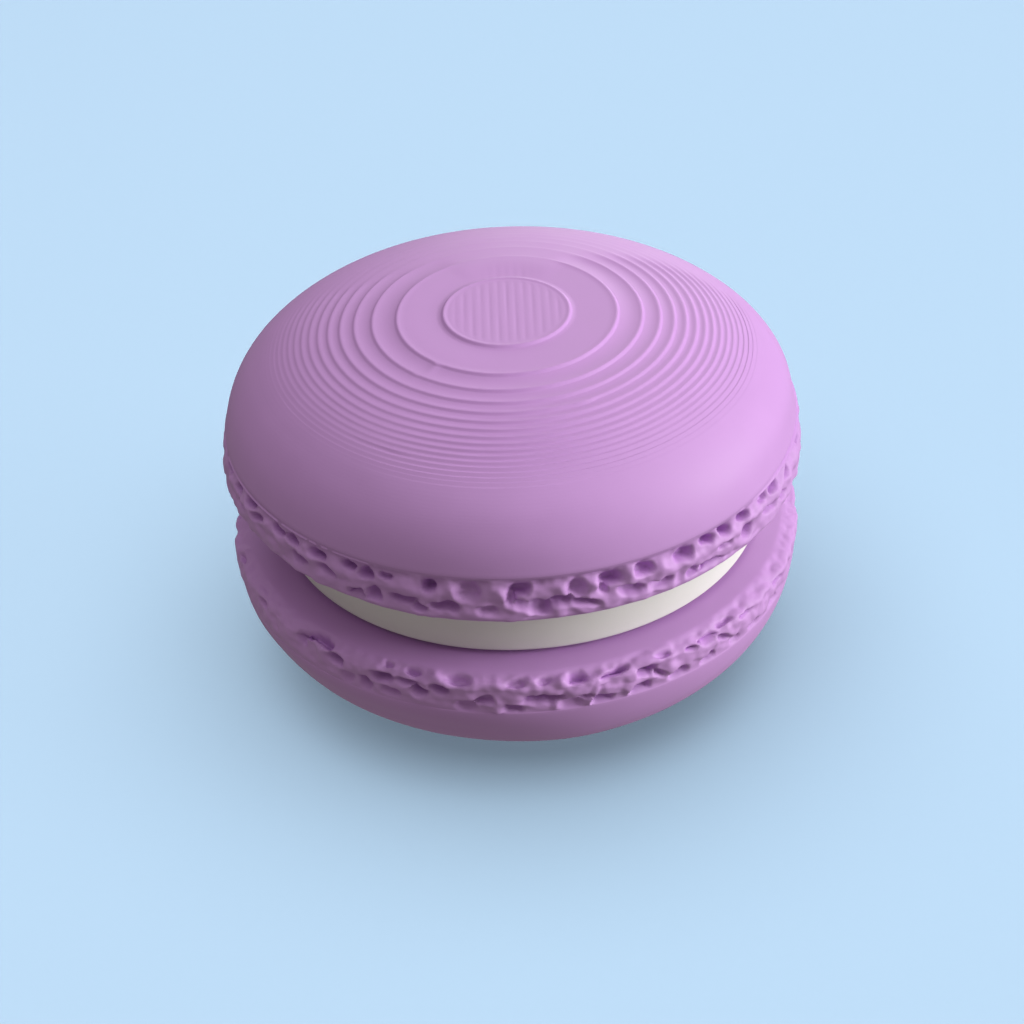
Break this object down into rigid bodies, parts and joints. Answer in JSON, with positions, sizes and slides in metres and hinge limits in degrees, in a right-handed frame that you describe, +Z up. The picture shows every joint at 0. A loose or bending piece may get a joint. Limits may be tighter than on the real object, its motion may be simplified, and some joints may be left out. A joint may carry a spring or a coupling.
{
  "type": "french macaron",
  "caption": "Printed plastic copy of a french macaron: lilac domed shells with fine layer steps and craggy feet, around a recessed white filling disc.",
  "frame": {"origin": "centre of the small flat disc under the lower shell, which the macaron rests on", "axes": "+Z up along the macaron's axis, from the lower shell through the filling to the upper shell; X and Y across it"},
  "size_m": [0.0478, 0.0478, 0.0312],
  "materials": {
    "lilac_plastic": "matte lilac printed plastic with fine layer steps",
    "white_plastic": "matte warm white printed plastic"
  },
  "bodies": {
    "root": {"shell_top": "lilac_plastic", "filling": "white_plastic", "shell_bottom": "lilac_plastic"}
  },
  "joints": []
}
